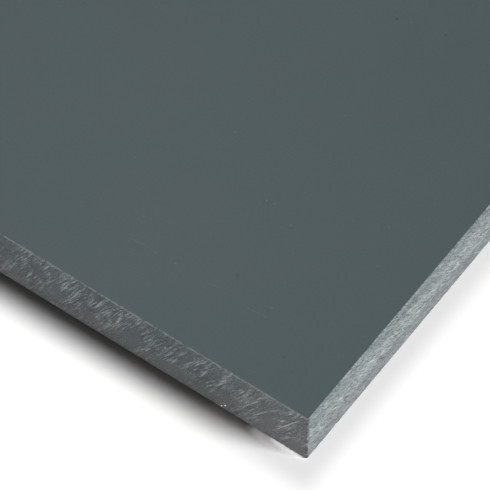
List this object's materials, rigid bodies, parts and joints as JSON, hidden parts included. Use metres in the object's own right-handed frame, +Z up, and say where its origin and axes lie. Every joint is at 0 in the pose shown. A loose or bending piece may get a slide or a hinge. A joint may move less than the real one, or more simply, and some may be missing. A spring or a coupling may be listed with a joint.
{
  "type": "pvc sheet",
  "caption": "Flat rectangular sheet of solid dark grey rigid PVC with smooth faces and rough sawn edges, sold as raw stock for cutting, machining and welding.",
  "frame": {"origin": "middle of the underside", "axes": "+X along the length, +Y across the width, +Z up through the thickness. The corner nearest the camera in the picture is the one at +X, -Y"},
  "size_m": [1, 0.5, 0.02],
  "materials": {
    "pvc": "satin"
  },
  "bodies": {
    "root": {"pvc_sheet": "pvc"}
  },
  "joints": []
}
